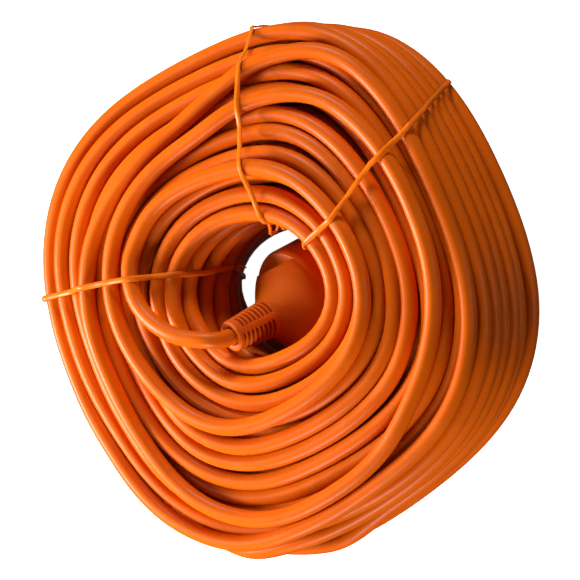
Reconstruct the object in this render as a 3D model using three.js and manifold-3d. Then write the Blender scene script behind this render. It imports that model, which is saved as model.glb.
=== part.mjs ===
// Extension cord of about 40 m, wound in a thick oval coil and held by three wire ties.
// The socket end (coupler) is tucked in the coil's hole, and the plug lies behind the coil.
// Millimetres, +Z up. The coil lies flat, and the origin is the middle of the whole part's base.
import * as THREE from 'three';
import { mergeVertices } from 'three/addons/utils/BufferGeometryUtils.js';
import Module from 'manifold-3d';

const wasm = await Module();
wasm.setup();

// ---- driving dimensions -------------------------------------------------------------------

const CORD_R = 4.0; // round sheath of a 3 x 1.5 mm2 cable
const GAP = 0.4; // clearance between pieces that touch
const COIL_CENTRE = new THREE.Vector3(0, -3.2, 0); // the coil's axis in the part's frame

const COIL_OUTER_R = 121; // mean outer radius
const COIL_HOLE_X = 31; // half widths of the hole
const COIL_HOLE_Y = 42;
const COIL_TOP_Z = 82;
const COIL_WALL_LOW_Z = 20; // the outer wall's lower and upper edge
const COIL_WALL_HIGH_Z = 63;

const COUPLER_TIP = new THREE.Vector3(-21.6, 8.9, 78); // end of the boot, from the coil's axis
const COUPLER_AXIS = new THREE.Vector3(-0.368, 0.327, 0.871).normalize(); // mouth to boot
const COUPLER_SIDE = new THREE.Vector3(-0.9, -0.366, -0.243); // across the two grip flats
const COUPLER_COLLAR_R = 27;
const COUPLER_FLAT_X = 20;
const COUPLER_BACK_Z = 33; // back edge of the collar
const BODY_END_Z = 50; // where the coupler's boot starts
const RECESS_R = 19.5;
const RECESS_Z = 18;

const PLUG_FACE = new THREE.Vector3(-42.5, 115.9, 19.2); // middle of the pin face, from the coil's axis
const PLUG_AXIS = new THREE.Vector3(-0.875, -0.485, 0).normalize(); // pin face to boot
const PLUG_R = 18.7;
const PLUG_BODY_END_Z = 35;

const PIN_Y = 9.5; // half the pin spacing
const PIN_R = 2.4;
const PIN_LENGTH = 19;

const BOOT_LENGTH = 21.7;
const BOOT_BASE_R = 9.3;
const BOOT_TIP_R = 7.4;
const BOOT_BORE_R = CORD_R + GAP;
const SLOT_COUNT = 8;
const SLOT_PITCH = 2.35;
const SLOT_WIDTH = 1.2;
const SLOT_FLOOR_R = 5.6;

const BARREL_R = 1.9; // crimp barrel, outside and bore
const BARREL_BORE_R = 1.35;
const WIRE_R = 1.0; // stripped conductor
const CORE_R = 1.25; // insulated core

const SHUTTER_TURN = THREE.MathUtils.degToRad(35);
const SHUTTER_R = 15.8;
const SHUTTER_FRONT_Z = 15.6;
const SHUTTER_BACK_Z = 17.6;

const TIE_WIDTH = 2.6;
const TIE_THICKNESS = 0.9;
const TIE_DEPTH = 0.6; // how far the tie is pulled into the turns

// ---- materials ----------------------------------------------------------------------------

const plastic = (color, roughness) => new THREE.MeshStandardMaterial({ color, roughness, metalness: 0 });
const metal = (color) => new THREE.MeshStandardMaterial({ color, roughness: 0.3, metalness: 1 });

const finishes = {
  sheath: plastic(0xe65a0c, 0.42),
  moulding: plastic(0xd9530b, 0.5),
  tie: plastic(0xe8600f, 0.45),
  carrier: plastic(0x2b2b2e, 0.55),
  shutter: plastic(0x3a3a3e, 0.5),
  brass: metal(0xc9a24a),
  nickel: metal(0xc8c8c4),
  spring: metal(0x9a9a9c),
  brown: plastic(0x5a2c12, 0.5),
  blue: plastic(0x1d56b0, 0.5),
  green: plastic(0x6fae2a, 0.5),
};

// ---- solids -------------------------------------------------------------------------------

// Merges shared vertices and drops the flat triangles at a lathe's poles.
function weld(geometry) {
  geometry.deleteAttribute('normal');
  geometry.deleteAttribute('uv');
  const merged = mergeVertices(geometry, 1e-4);
  const index = merged.index.array;
  const kept = [];
  for (let i = 0; i < index.length; i += 3) {
    const corners = [index[i], index[i + 1], index[i + 2]];
    if (new Set(corners).size === 3) kept.push(...corners);
  }
  merged.setIndex(kept);
  return merged;
}

function toSolid(geometry) {
  const welded = weld(geometry);
  return new wasm.Manifold(
    new wasm.Mesh({
      numProp: 3,
      vertProperties: new Float32Array(welded.attributes.position.array),
      triVerts: new Uint32Array(welded.index.array),
    }),
  );
}

function toGeometry(solid) {
  const mesh = solid.getMesh();
  const geometry = new THREE.BufferGeometry();
  geometry.setAttribute('position', new THREE.BufferAttribute(new Float32Array(mesh.vertProperties), 3));
  geometry.setIndex(new THREE.BufferAttribute(new Uint32Array(mesh.triVerts), 1));
  return geometry;
}

// A solid of revolution about Z from [radius, z] points. A full outline starts and ends on the
// axis; a ring's outline closes on itself. Outlines run up the outside.
function turned(points, segments = 40) {
  const outline = points.map(([radius, z]) => new THREE.Vector2(radius, z));
  return toSolid(new THREE.LatheGeometry(outline, segments).rotateX(Math.PI / 2));
}

function cylinder(radius, lowZ, highZ, x = 0, y = 0, segments = 24) {
  const outline = [[0, lowZ], [radius, lowZ], [radius, highZ], [0, highZ]];
  return turned(outline, segments).translate(x, y, 0);
}

function pipe(innerR, outerR, lowZ, highZ, x = 0, y = 0, segments = 24) {
  const outline = [[innerR, lowZ], [outerR, lowZ], [outerR, highZ], [innerR, highZ], [innerR, lowZ]];
  return turned(outline, segments).translate(x, y, 0);
}

function block(lowX, highX, lowY, highY, lowZ, highZ) {
  const box = new THREE.BoxGeometry(highX - lowX, highY - lowY, highZ - lowZ);
  box.translate((lowX + highX) / 2, (lowY + highY) / 2, (lowZ + highZ) / 2);
  return toSolid(box);
}

// A tube along a smooth curve through the points, with a section of `sides` corners.
function tube(points, radius, sides, steps) {
  const section = new THREE.Shape();
  for (let i = 0; i < sides; i++) {
    const angle = (i / sides) * 2 * Math.PI;
    const corner = [radius * Math.cos(angle), radius * Math.sin(angle)];
    if (i === 0) section.moveTo(...corner);
    else section.lineTo(...corner);
  }
  const extrudePath = new THREE.CatmullRomCurve3(points, false, 'centripetal');
  return toSolid(new THREE.ExtrudeGeometry(section, { steps, bevelEnabled: false, extrudePath }));
}

// A flat outline in X and Z, `width` thick along Y.
function strip(outline, width) {
  const shape = new THREE.Shape(outline.map(([x, z]) => new THREE.Vector2(x, z)));
  const geometry = new THREE.ExtrudeGeometry(shape, { depth: width, bevelEnabled: false });
  return toSolid(geometry.translate(0, 0, -width / 2).rotateX(Math.PI / 2));
}

// A sector of a ring about Z, for slots.
function sector(innerR, outerR, middleAngle, halfAngle, lowZ, highZ) {
  const shape = new THREE.Shape();
  shape.absarc(0, 0, outerR, middleAngle - halfAngle, middleAngle + halfAngle, false);
  shape.absarc(0, 0, innerR, middleAngle + halfAngle, middleAngle - halfAngle, true);
  const settings = { depth: highZ - lowZ, bevelEnabled: false, curveSegments: 4 };
  return toSolid(new THREE.ExtrudeGeometry(shape, settings).translate(0, 0, lowZ));
}

const part = new THREE.Group();
const coil = new THREE.Group();
coil.position.copy(COIL_CENTRE);
part.add(coil);

function addPiece(parent, name, solid, material) {
  const mesh = new THREE.Mesh(toGeometry(solid), material);
  mesh.name = name;
  parent.add(mesh);
  return mesh;
}

// ---- the coil's shape ---------------------------------------------------------------------

// The outside is a rounded parallelogram: a circle with a four-lobed and a weaker two-lobed wave.
function outerRadius(angle) {
  const fourLobes = 0.04 * Math.cos(4 * angle + 1.09);
  const twoLobes = 0.01 * Math.cos(2 * angle - 2.55);
  return COIL_OUTER_R * (1 + fourLobes + twoLobes);
}

// The hole is an oval.
function holeRadius(angle) {
  return 1 / Math.hypot(Math.cos(angle) / COIL_HOLE_X, Math.sin(angle) / COIL_HOLE_Y);
}

// Section of the coil as [share of the way from hole to outside, height], counter-clockwise.
const SECTION = [
  [0.2, 0], [0.6, 0], [0.78, 5], [0.92, 12], [1, COIL_WALL_LOW_Z],
  [1, COIL_WALL_HIGH_Z], [0.95, 68], [0.8, 72.5], [0.6, 76.5], [0.35, 80.5], [0.14, COIL_TOP_Z],
  [0.04, 80], [0, 75], [0, 26], [0.03, 14], [0.1, 5], [0.2, 0],
];

function coilPoint(share, angle, z) {
  const radius = holeRadius(angle) + share * (outerRadius(angle) - holeRadius(angle));
  return new THREE.Vector3(radius * Math.cos(angle), radius * Math.sin(angle), z);
}

function coilEnvelope() {
  const outline = SECTION.map(([share, z]) => new THREE.Vector2(1 + share, z));
  const geometry = weld(new THREE.LatheGeometry(outline, 60).rotateX(Math.PI / 2));
  const position = geometry.attributes.position;
  for (let i = 0; i < position.count; i++) {
    const [x, y, z] = [position.getX(i), position.getY(i), position.getZ(i)];
    const moved = coilPoint(Math.hypot(x, y) - 1, Math.atan2(y, x), z);
    position.setXYZ(i, moved.x, moved.y, moved.z);
  }
  return toSolid(geometry);
}

// ---- ties ---------------------------------------------------------------------------------

// A tie goes once round the section at one angle, and its two ends stick out into the hole.
const TIES = [
  { name: 'tie_top', angle: -0.035, endZ: 46 },
  { name: 'tie_right', angle: -0.87, endZ: 67 },
  // this one also holds the coupler's lead down
  { name: 'tie_left', angle: 1.6, endZ: 34, front: [[46, 82], [51, 87], [56, 89.6], [62, 89.8], [68, 86]] },
];
const TIE_END_LENGTH = 5.5;
const TIE_WALL_TOP = 75;

function tiePath({ angle, endZ, front }) {
  const wall = holeRadius(angle) + TIE_DEPTH;
  const at = (share, z) => [coilPoint(share, angle, 0).length(), z];
  const upTheWall = endZ < 60 ? [[wall, 62]] : [];
  const path = [
    [wall - TIE_END_LENGTH, endZ + 0.8], [wall - 3, endZ + 0.8], [wall, endZ + 4], ...upTheWall,
    [wall, TIE_WALL_TOP], ...(front ?? [at(0.05, 79.4), at(0.15, 81.2), at(0.35, 79.7)]),
    at(0.59, 75.7), at(0.79, 71.8), at(0.935, 67.4), at(0.985, COIL_WALL_HIGH_Z), at(0.993, 42),
    at(0.985, COIL_WALL_LOW_Z), at(0.91, 12.6), at(0.77, 5.8), at(0.62, 1), at(0.57, 0.8), at(0.4, 0.8),
    at(0.25, 0.8), at(0.2, 1), at(0.12, 5.2), at(0.05, 14), at(0.034, 28), ...(endZ > 40 ? [at(0.036, 36)] : []),
    [wall, endZ - 4.8], [wall - 3, endZ - 0.8], [wall - TIE_END_LENGTH, endZ - 0.8],
  ];
  return path.map(([radius, z]) => new THREE.Vector3(radius, 0, z));
}

function ribbon(points, width, thickness) {
  const section = new THREE.Shape();
  section.moveTo(-width / 2, -thickness / 2);
  section.lineTo(width / 2, -thickness / 2);
  section.lineTo(width / 2, thickness / 2);
  section.lineTo(-width / 2, thickness / 2);
  const extrudePath = new THREE.CatmullRomCurve3(points, false, 'centripetal');
  return toSolid(new THREE.ExtrudeGeometry(section, { steps: 80, bevelEnabled: false, extrudePath }));
}

const tieAngles = TIES.map((tie) => THREE.MathUtils.radToDeg(tie.angle));
const tieGrooves = TIES.map((tie, i) =>
  ribbon(tiePath(tie), TIE_WIDTH + 2 * GAP, TIE_THICKNESS + 2 * GAP).rotate([0, 0, tieAngles[i]]),
);

// ---- boot, shared by both ends -------------------------------------------------------------

// A tapered sleeve with two banks of slots across it, half a pitch apart, so that it can bend.
function boot(baseZ) {
  const tipZ = baseZ + BOOT_LENGTH;
  let solid = turned([
    [BOOT_BORE_R, baseZ], [BOOT_BASE_R, baseZ], [BOOT_BASE_R - 0.1, baseZ + 1.2],
    [BOOT_TIP_R, tipZ - 1], [BOOT_TIP_R - 0.6, tipZ], [BOOT_BORE_R + 0.5, tipZ],
    [BOOT_BORE_R, tipZ - 1], [BOOT_BORE_R, baseZ],
  ], 24);
  for (let i = 0; i < SLOT_COUNT; i++) {
    for (const [side, middleAngle] of [0, Math.PI].entries()) {
      const lowZ = baseZ + 2.2 + i * SLOT_PITCH - side * SLOT_PITCH * 0.5;
      const slot = sector(SLOT_FLOOR_R, BOOT_BASE_R + 2, middleAngle, 1.13, lowZ, lowZ + SLOT_WIDTH);
      solid = solid.subtract(slot);
    }
  }
  return solid;
}

// A core: a stripped end in its crimp barrel, then insulation along the given points.
function core(points) {
  const [start] = points;
  const wire = cylinder(WIRE_R, start.z - 3.5, start.z + 0.3, start.x, start.y, 12);
  return tube(points, CORE_R, 10, 12).add(wire);
}

const point = (x, y, z) => new THREE.Vector3(x, y, z);

// ---- coupler ------------------------------------------------------------------------------

// Local frame: Z from the mouth to the boot, X across the grip flats, Y through both contacts.
const coupler = new THREE.Group();
const couplerLength = BODY_END_Z + GAP + BOOT_LENGTH;
const couplerY = new THREE.Vector3().crossVectors(COUPLER_AXIS, COUPLER_SIDE).normalize();
const couplerX = new THREE.Vector3().crossVectors(couplerY, COUPLER_AXIS);
coupler.position.copy(COUPLER_TIP).addScaledVector(COUPLER_AXIS, -couplerLength);
coupler.setRotationFromMatrix(new THREE.Matrix4().makeBasis(couplerX, couplerY, COUPLER_AXIS));
coil.add(coupler);

const COUPLER_OUTLINE = [
  [0, 0], [27.6, 0], [28.4, 0.9], [28.4, 4.2], [27.8, 5.2], [COUPLER_COLLAR_R, 31],
  [26.3, 32.4], [25.2, COUPLER_BACK_Z], [24.4, 35.4], [22.2, 38.2], [18.6, 41.4],
  [14.8, 44.6], [12, 47.2], [10.3, 49], [9.5, BODY_END_Z], [0, BODY_END_Z],
];

function couplerBody() {
  const flat = block(COUPLER_FLAT_X, 40, -40, 40, COUPLER_BACK_Z, BODY_END_Z + 1);
  const inside = turned([
    [0, -1], [21.4, -1], [21.4, 23.8], [16.4, 23.8], [16.4, 38.8], [6.5, 44.5],
    [BOOT_BORE_R, 46.8], [BOOT_BORE_R, BODY_END_Z + 1], [0, BODY_END_Z + 1],
  ]);
  return turned(COUPLER_OUTLINE, 56).subtract(flat).subtract(flat.rotate([0, 0, 180])).subtract(inside);
}

// The hard carrier: a round recess for the plug, a floor with two holes, and a contact block.
const BLOCK_END_Z = 36;
const FLOOR_END_Z = 22;
const STRAP_WIDTH = 6.4;

function couplerInsert() {
  let solid = turned([
    [0, 0.6], [21, 0.6], [21, FLOOR_END_Z], [16, FLOOR_END_Z], [16, BLOCK_END_Z], [0, BLOCK_END_Z],
  ]);
  const slotY = STRAP_WIDTH / 2 + GAP;
  const cuts = [
    cylinder(RECESS_R, 0, RECESS_Z, 0, 0, 40),
    cylinder(2.4, FLOOR_END_Z - 0.5, BLOCK_END_Z + 1), // round the earth barrel
    cylinder(2.2, RECESS_Z - 1, FLOOR_END_Z + 1), // the shutter's bearing
    pipe(3.0, 6.2, RECESS_Z - 1, 20), // the spring's pocket
    sector(11.1, 13.9, SHUTTER_TURN / 2, SHUTTER_TURN / 2 + 0.12, RECESS_Z - 1, 20.3), // stop slot
    block(-20, 20, -slotY, slotY, FLOOR_END_Z, 23.8), // channel behind the floor for the strap
  ];
  for (const side of [-1, 1]) {
    const armX = [17.6 * side, 19.1 * side].sort((a, b) => a - b);
    cuts.push(cylinder(2.7, RECESS_Z - 1, FLOOR_END_Z + 1, 0, PIN_Y * side));
    cuts.push(cylinder(3.7, FLOOR_END_Z, BLOCK_END_Z + 1, 0, PIN_Y * side));
    cuts.push(block(armX[0], armX[1], -slotY, slotY, RECESS_Z - 1, FLOOR_END_Z + 1));
  }
  for (const cut of cuts) solid = solid.subtract(cut);
  return solid;
}

function couplerInsertCover() {
  let solid = cylinder(15.6, BLOCK_END_Z + 0.3, BLOCK_END_Z + 2.3, 0, 0, 40);
  for (const y of [-PIN_Y, 0, PIN_Y]) solid = solid.subtract(cylinder(2.3, BLOCK_END_Z, 40, 0, y));
  return solid;
}

// The turning shutter: a disc whose two holes stand beside the contacts until it is turned.
function couplerShutter() {
  let solid = cylinder(SHUTTER_R, SHUTTER_FRONT_Z, SHUTTER_BACK_Z, 0, 0, 40);
  solid = solid.add(cylinder(1.9, SHUTTER_BACK_Z - 1, 20.9)); // hub
  solid = solid.add(cylinder(1.0, SHUTTER_BACK_Z - 1, 19.6, 12.5, 0, 12)); // stop peg
  for (const side of [-1, 1]) {
    const angle = Math.PI / 2 - SHUTTER_TURN;
    const [x, y] = [PIN_Y * Math.cos(angle) * side, PIN_Y * Math.sin(angle) * side];
    const dimple = new THREE.SphereGeometry(4, 20, 14).translate(0, PIN_Y * side, SHUTTER_FRONT_Z - 3);
    solid = solid.subtract(cylinder(2.8, SHUTTER_FRONT_Z - 1, SHUTTER_BACK_Z + 1, x, y));
    solid = solid.subtract(toSolid(dimple));
  }
  return solid;
}

function shutterSpring() {
  const turns = 2;
  const points = [];
  for (let i = 0; i <= turns * 12; i++) {
    const angle = (i / 12) * 2 * Math.PI;
    points.push(point(4.6 * Math.cos(angle), 4.6 * Math.sin(angle), 18.35 + (i / 12) * 0.62));
  }
  return tube(points, 0.2, 6, turns * 18);
}

// A female contact: a slit sleeve for the pin, a closed back and a crimp barrel.
function couplerContact(y) {
  const sleeve = pipe(PIN_R + 0.1, 3.3, FLOOR_END_Z + 0.5, 33);
  const back = cylinder(3.3, 32.2, 33);
  const barrel = pipe(BARREL_BORE_R, BARREL_R, 32.9, 38, 0, 0, 16);
  const slit = block(-0.3, 0.3, -4, 4, FLOOR_END_Z, 30);
  return sleeve.add(back).add(barrel).subtract(slit).translate(0, y, 0);
}

// The earth clip: one strap bent to a U, whose arms bow in to grip the plug's side contacts.
function couplerEarthClip() {
  const outline = [
    [-18.8, 23.2], [-18.8, 13], [-17.9, 8.5], [-18.9, 3.2], [-18.1, 3.2], [-17.1, 8.5], [-18, 13],
    [-18, 22.4], [18, 22.4], [18, 13], [17.1, 8.5], [18.1, 3.2], [18.9, 3.2], [17.9, 8.5],
    [18.8, 13], [18.8, 23.2],
  ];
  return strip(outline, STRAP_WIDTH).add(pipe(BARREL_BORE_R, BARREL_R, 22.8, 38, 0, 0, 16));
}

const COUPLER_SHEATH_Z = 46.6; // where the cable's sheath ends inside the coupler

addPiece(coupler, 'coupler_body', couplerBody(), finishes.moulding);
addPiece(coupler, 'coupler_boot', boot(BODY_END_Z + GAP), finishes.moulding);
addPiece(coupler, 'coupler_insert', couplerInsert(), finishes.carrier);
addPiece(coupler, 'coupler_insert_cover', couplerInsertCover(), finishes.carrier);
addPiece(coupler, 'coupler_shutter', couplerShutter(), finishes.shutter);
addPiece(coupler, 'coupler_shutter_spring', shutterSpring(), finishes.spring);
addPiece(coupler, 'coupler_contact_live', couplerContact(PIN_Y), finishes.brass);
addPiece(coupler, 'coupler_contact_neutral', couplerContact(-PIN_Y), finishes.brass);
addPiece(coupler, 'coupler_earth_clip', couplerEarthClip(), finishes.nickel);
addPiece(coupler, 'coupler_core_live', core([
  point(0, 9.5, 38.5), point(0, 9.4, 39.6), point(0, 7.2, 42), point(0, 3.2, 44), point(0, 1.75, 45.4),
  point(0, 1.75, 46.2),
]), finishes.brown);
addPiece(coupler, 'coupler_core_neutral', core([
  point(0, -9.5, 38.5), point(0, -9.4, 39.6), point(0.3, -7, 42), point(1.1, -2.6, 44),
  point(1.52, -0.88, 45.4), point(1.52, -0.88, 46.2),
]), finishes.blue);
addPiece(coupler, 'coupler_core_earth', core([
  point(0, 0, 38.5), point(0, 0, 39.6), point(-0.5, -0.2, 42), point(-1.2, -0.6, 44),
  point(-1.52, -0.88, 45.4), point(-1.52, -0.88, 46.2),
]), finishes.green);

// ---- plug ---------------------------------------------------------------------------------

// Local frame: Z from the pin face to the boot, Y through both pins. The plug lies on its side,
// one pin above the other.
const plug = new THREE.Group();
const plugX = new THREE.Vector3(0, 0, 1).cross(PLUG_AXIS);
plug.position.copy(PLUG_FACE);
plug.setRotationFromMatrix(new THREE.Matrix4().makeBasis(plugX, new THREE.Vector3(0, 0, 1), PLUG_AXIS));
coil.add(plug);

const PLUG_OUTLINE = [
  [0, 0], [18.2, 0], [PLUG_R, 0.6], [PLUG_R, 11.5], [18, 14.5], [15.5, 21], [12.5, 28],
  [10.3, 33], [9.5, PLUG_BODY_END_Z], [0, PLUG_BODY_END_Z],
];
const STRAP_Z = [11.4, 12.2];

function plugBody() {
  const inside = turned([
    [0, -1], [15.5, -1], [15.5, 17], [12.5, 20.5], [5.5, 28.5], [BOOT_BORE_R, 30.2],
    [BOOT_BORE_R, PLUG_BODY_END_Z + 1], [0, PLUG_BODY_END_Z + 1],
  ]);
  const slotY = STRAP_WIDTH / 2 + GAP;
  const notch = block(16.1, 20, -slotY, slotY, -1, STRAP_Z[1] + GAP);
  const slot = block(-17.7, 17.7, -slotY, slotY, STRAP_Z[0] - GAP, STRAP_Z[1] + GAP);
  return turned(PLUG_OUTLINE, 48).subtract(inside).subtract(slot)
    .subtract(notch).subtract(notch.rotate([0, 0, 180]));
}

function plugBridge() {
  let solid = cylinder(15.1, 0.4, STRAP_Z[0] - 0.8, 0, 0, 40);
  for (const y of [-PIN_Y, PIN_Y]) solid = solid.subtract(cylinder(PIN_R + 0.35, 0, 12, 0, y));
  return solid.subtract(cylinder(3.6, 0, 12, 10, 0));
}

function plugPin(y) {
  const pin = turned([[0, -PIN_LENGTH], [1.4, -PIN_LENGTH], [PIN_R, -17.6], [PIN_R, 14], [0, 14]], 24);
  return pin.add(pipe(BARREL_BORE_R, BARREL_R, 13.8, 19, 0, 0, 16)).translate(0, y, 0);
}

function plugEarthStrap() {
  const outline = [
    [-17.3, STRAP_Z[1]], [-17.3, 0.7], [-16.5, 0.7], [-16.5, STRAP_Z[0]],
    [16.5, STRAP_Z[0]], [16.5, 0.7], [17.3, 0.7], [17.3, STRAP_Z[1]],
  ];
  return strip(outline, STRAP_WIDTH).add(pipe(BARREL_BORE_R, BARREL_R, 12, 17, 0, 0, 16));
}

const PLUG_SHEATH_Z = 30.1;

addPiece(plug, 'plug_body', plugBody(), finishes.moulding);
addPiece(plug, 'plug_boot', boot(PLUG_BODY_END_Z + GAP), finishes.moulding);
addPiece(plug, 'plug_bridge', plugBridge(), finishes.carrier);
addPiece(plug, 'plug_pin_live', plugPin(PIN_Y), finishes.nickel);
addPiece(plug, 'plug_pin_neutral', plugPin(-PIN_Y), finishes.nickel);
addPiece(plug, 'plug_earth_strap', plugEarthStrap(), finishes.nickel);
addPiece(plug, 'plug_earth_sleeve', pipe(2.55, 3.3, 0.8, STRAP_Z[0] - GAP, 10, 0), finishes.brass);
addPiece(plug, 'plug_core_live', core([
  point(0, 9.5, 19.4), point(0, 9, 20.8), point(0, 6, 24), point(0, 3, 27), point(0, 1.75, 28.8),
  point(0, 1.75, 29.7),
]), finishes.brown);
addPiece(plug, 'plug_core_neutral', core([
  point(0, -9.5, 19.4), point(0, -9, 20.8), point(0.6, -5.5, 24), point(1.2, -2.4, 27),
  point(1.52, -0.88, 28.8), point(1.52, -0.88, 29.7),
]), finishes.blue);
addPiece(plug, 'plug_core_earth', core([
  point(0, 0, 17.5), point(0, 0, 20), point(-0.5, -0.3, 24), point(-1.2, -0.7, 27),
  point(-1.52, -0.88, 28.8), point(-1.52, -0.88, 29.7),
]), finishes.green);

// ---- free ends of the cord ------------------------------------------------------------------

// Straight through the boot, then over the inner turns to the place where it joins the coil.
function alongAxis(group, axis, distances) {
  return distances.map((distance) => group.position.clone().addScaledVector(axis, distance));
}

const couplerLead = [
  ...alongAxis(coupler, COUPLER_AXIS, [COUPLER_SHEATH_Z, 56, 65, 71, 74]),
  point(-23.6, 13.4, 84.6), point(-23.2, 20.5, 86.6), point(-22.4, 29.5, 87.6), point(-19.6, 38.6, 87.2),
  point(-15.2, 47.4, 86), point(-7.9, 56.4, 84.4), point(2.2, 62.2, 82.8), point(13, 63.8, 81.2),
  point(23.6, 60.4, 79.6), point(32.4, 54.4, 78.2),
];

const plugLead = [
  ...alongAxis(plug, PLUG_AXIS, [PLUG_SHEATH_Z, 40, 50, 56, 60]),
  point(-100.6, 81.4, 19.2), point(-106, 71.4, 19.4), point(-109.4, 60.6, 19.7), point(-112.2, 49.9, 20.2),
  point(-114.4, 39.4, 20.7), point(-116.5, 29.1, 21),
];

// The space that a lead needs, with a short piece past its end for the gap to the coil.
function leadSpace(points) {
  const end = points[points.length - 1];
  const direction = end.clone().sub(points[points.length - 2]).normalize();
  const past = [end.clone().addScaledVector(direction, -1), end.clone().addScaledVector(direction, GAP)];
  return tube(points, CORD_R + GAP, 12, 30).add(tube(past, CORD_R + GAP, 12, 1));
}

addPiece(coil, 'coupler_lead', tube(couplerLead, CORD_R, 12, 30), finishes.sheath);
addPiece(coil, 'plug_lead', tube(plugLead, CORD_R, 12, 30), finishes.sheath);

// ---- coil and ties --------------------------------------------------------------------------

function placed(solid, group) {
  group.updateMatrix();
  return solid.transform(group.matrix.elements);
}

function grown(outline, by) {
  return outline.map(([radius, z], i) => {
    const onAxis = radius === 0;
    const endZ = z + (i < 2 ? -by : i >= outline.length - 2 ? by : 0);
    return [onAxis ? 0 : radius + by, endZ];
  });
}

function cableCoil() {
  const pinSpace = cylinder(PIN_Y + PIN_R + 1, -PIN_LENGTH - 1, 0);
  const bootSpace = cylinder(BOOT_BASE_R + 0.5, PLUG_BODY_END_Z, PLUG_BODY_END_Z + BOOT_LENGTH + 1);
  const beforeMouth = cylinder(29.5, -8, 1, 0, 0, 40);
  const cuts = [
    placed(turned(grown(COUPLER_OUTLINE, 0.6), 40).add(beforeMouth), coupler),
    placed(turned(grown(PLUG_OUTLINE, 0.6), 40).add(pinSpace).add(bootSpace), plug),
    leadSpace(couplerLead),
    leadSpace(plugLead),
    ...tieGrooves,
  ];
  let solid = coilEnvelope();
  for (const cut of cuts) solid = solid.subtract(cut);
  return solid;
}

addPiece(coil, 'cable_coil', cableCoil(), finishes.sheath);
for (const tie of TIES) {
  const mesh = addPiece(coil, tie.name, ribbon(tiePath(tie), TIE_WIDTH, TIE_THICKNESS), finishes.tie);
  mesh.rotation.z = tie.angle;
}

export default part;
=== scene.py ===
"""A long extension cord, wound in a thick oval coil and held by three wire ties.

The coupler stands in the coil's hole and the plug lies behind the coil. Lengths are in metres.
"""

import math

import bpy
import numpy as np
from mathutils import Matrix


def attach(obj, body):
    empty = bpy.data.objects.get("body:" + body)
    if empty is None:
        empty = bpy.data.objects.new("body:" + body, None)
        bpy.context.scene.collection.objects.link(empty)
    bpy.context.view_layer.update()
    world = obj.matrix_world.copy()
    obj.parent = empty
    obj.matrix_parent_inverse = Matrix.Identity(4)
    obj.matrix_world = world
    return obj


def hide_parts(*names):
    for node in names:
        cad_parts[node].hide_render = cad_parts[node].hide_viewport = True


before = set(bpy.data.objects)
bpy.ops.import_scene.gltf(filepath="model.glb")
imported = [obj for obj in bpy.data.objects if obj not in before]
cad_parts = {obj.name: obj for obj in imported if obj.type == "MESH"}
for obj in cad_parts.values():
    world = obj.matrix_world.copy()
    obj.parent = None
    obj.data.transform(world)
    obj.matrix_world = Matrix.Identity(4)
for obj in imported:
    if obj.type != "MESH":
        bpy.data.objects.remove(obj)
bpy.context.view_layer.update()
scene = bpy.context.scene

# --- camera, floor and light --------------------------------------------------------------
# A long lens looks down on the coil, rolled a quarter turn. The floor is pale and plain. The main
# soft light stands on the +Y side and two weaker ones at -X and +X, with faint ones low at -Y and
# overhead.

CAMERA_ELEVATION = math.radians(56.4)
CAMERA_DISTANCE = 3.0
CAMERA_TARGET = np.array([0.0, -0.0025, 0.041])
FIELD_WIDTH = 0.271

toward_camera = np.array([0.0, -math.cos(CAMERA_ELEVATION), math.sin(CAMERA_ELEVATION)])
camera_up = np.array([1.0, 0.0, 0.0])
camera_right = np.cross(camera_up, toward_camera)
camera_data = bpy.data.cameras.new("camera")
camera_data.sensor_width = 36.0
camera_data.lens = 36.0 * CAMERA_DISTANCE / FIELD_WIDTH
camera = bpy.data.objects.new("camera", camera_data)
scene.collection.objects.link(camera)
camera_place = np.eye(4)
camera_place[:3, 0] = camera_right
camera_place[:3, 1] = camera_up
camera_place[:3, 2] = toward_camera
camera_place[:3, 3] = CAMERA_TARGET + CAMERA_DISTANCE * toward_camera
camera.matrix_world = Matrix(camera_place.tolist())
scene.camera = camera
scene.view_settings.view_transform = "Standard"


def soft_light(name, place, width, watts):
    """A square area light that faces the coil from the given place."""
    light = bpy.data.lights.new(name, "AREA")
    light.shape = "SQUARE"
    light.size = width
    light.energy = watts
    lamp = bpy.data.objects.new(name, light)
    scene.collection.objects.link(lamp)
    away = np.array(place) - CAMERA_TARGET
    away /= np.linalg.norm(away)
    side = np.cross([0.0, 0.0, 1.0], away)
    side /= np.linalg.norm(side)
    turn = np.eye(4)
    turn[:3, 0] = side
    turn[:3, 1] = np.cross(away, side)
    turn[:3, 2] = away
    turn[:3, 3] = place
    lamp.matrix_world = Matrix(turn.tolist())


soft_light("left light", (-0.25, 1.20, 0.65), 0.4, 43.0)
soft_light("near light", (-1.20, 0.10, 0.50), 0.4, 19.0)
soft_light("far light", (1.20, 0.15, 0.60), 0.4, 16.0)
soft_light("right light", (0.15, -1.30, 0.12), 0.6, 5.0)
soft_light("top light", (-0.10, 0.70, 1.3), 0.5, 2.5)


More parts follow.
